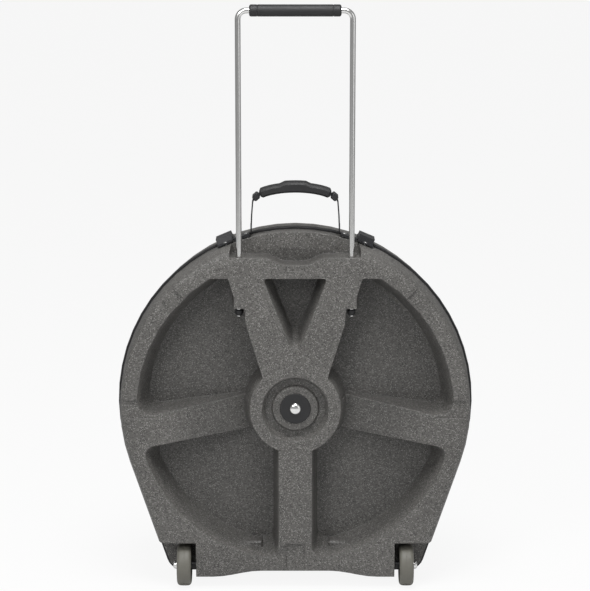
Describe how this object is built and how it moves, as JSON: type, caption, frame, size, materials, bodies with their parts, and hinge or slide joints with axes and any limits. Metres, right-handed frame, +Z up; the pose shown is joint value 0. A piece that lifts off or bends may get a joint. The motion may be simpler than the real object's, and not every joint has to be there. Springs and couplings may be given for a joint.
{
  "type": "cymbal trolley case",
  "caption": "Rigid round trolley case for a stack of cymbals: ribbed back half on two wheels, lift-off lid, carry handle and a pull-out bow handle.",
  "frame": {"origin": "middle of the case's depth and width, on the floor it stands on", "axes": "+Z up, +X to the right of someone facing the wheeled back, -Y out of the wheeled back, +Y out of the lid"},
  "size_m": [0.644, 0.1746, 1.0625],
  "materials": {
    "shell": "speckled granite-grey moulded polyethylene",
    "black_rubber": "matt black rubber",
    "black_plastic": "moulded black plastic",
    "chrome": "bright plated steel",
    "zinc": "zinc-plated steel",
    "tyre": "olive-grey polyurethane tyre",
    "webbing": "black nylon webbing",
    "foam": "dark grey foam",
    "felt": "grey felt"
  },
  "bodies": {
    "case_back": {"base_shell": "shell", "rim_seal": "black_rubber", "base_pad": "foam", "rod_guide_left": "black_plastic", "rod_guide_right": "black_plastic", "bolt_washer_outer": "black_rubber", "centre_bolt": "chrome", "bolt_washer_inner": "zinc", "bolt_nut": "zinc", "post_sleeve": "black_plastic", "felt_lower": "felt", "felt_upper": "felt", "latch_socket_left": "black_plastic", "latch_socket_right": "black_plastic", "latch_socket_bottom": "black_plastic", "rivet_socket_left": "chrome", "rivet_socket_right": "chrome", "rivet_socket_bottom": "chrome", "axle": "zinc", "axle_cap_left": "chrome", "axle_cap_right": "chrome", "wheel_spacer_left": "black_plastic", "wheel_spacer_right": "black_plastic", "handle_foot_left": "webbing", "handle_foot_right": "webbing", "anchor_plate_left": "black_plastic", "anchor_plate_right": "black_plastic", "rivet_anchor_left_inner": "chrome", "rivet_anchor_left_outer": "chrome", "rivet_anchor_right_inner": "chrome", "rivet_anchor_right_outer": "chrome"},
    "lid": {"lid_shell": "shell", "lid_pad": "foam", "latch_plug_left": "black_plastic", "latch_plug_right": "black_plastic", "latch_plug_bottom": "black_plastic", "rivet_plug_left": "chrome", "rivet_plug_right": "chrome", "rivet_plug_bottom": "chrome", "foot_left": "black_rubber", "foot_right": "black_rubber"},
    "trolley_handle": {"trolley_bow": "chrome", "grip_sleeve": "black_rubber", "rod_stop_left": "black_rubber", "rod_stop_right": "black_rubber", "rod_screw_left": "chrome", "rod_screw_right": "chrome"},
    "wheel_left": {"wheel_tyre_left": "tyre", "wheel_core_left": "black_plastic"},
    "wheel_right": {"wheel_tyre_right": "tyre", "wheel_core_right": "black_plastic"},
    "carry_handle": {"handle_strap": "webbing", "handle_wrap": "black_rubber", "handle_keeper_left": "black_plastic", "handle_keeper_right": "black_plastic"},
    "post_nut": {"wing_nut": "zinc"}
  },
  "joints": [
    {"name": "lid_lift_off", "type": "slide", "parent": "case_back", "child": "lid", "axis": [0, 1, 0], "range_m": [0, 0.25]},
    {"name": "trolley_slide", "type": "slide", "parent": "case_back", "child": "trolley_handle", "axis": [0, 0, -1], "range_m": [0, 0.42]},
    {"name": "wheel_left_spin", "type": "hinge", "parent": "case_back", "child": "wheel_left", "pos_m": [-0.203, -0.04925, 0.038], "axis": [1, 0, 0], "continuous": true},
    {"name": "wheel_right_spin", "type": "hinge", "parent": "case_back", "child": "wheel_right", "pos_m": [0.203, -0.04925, 0.038], "axis": [1, 0, 0], "continuous": true},
    {"name": "carry_handle_swing", "type": "hinge", "parent": "case_back", "child": "carry_handle", "pos_m": [0, -0.01375, 0.6585], "axis": [1, 0, 0], "range_deg": [-65, 65]},
    {"name": "wing_nut_turn", "type": "hinge", "parent": "case_back", "child": "post_nut", "pos_m": [0, 0.053, 0.3385], "axis": [0, 1, 0], "continuous": true}
  ]
}
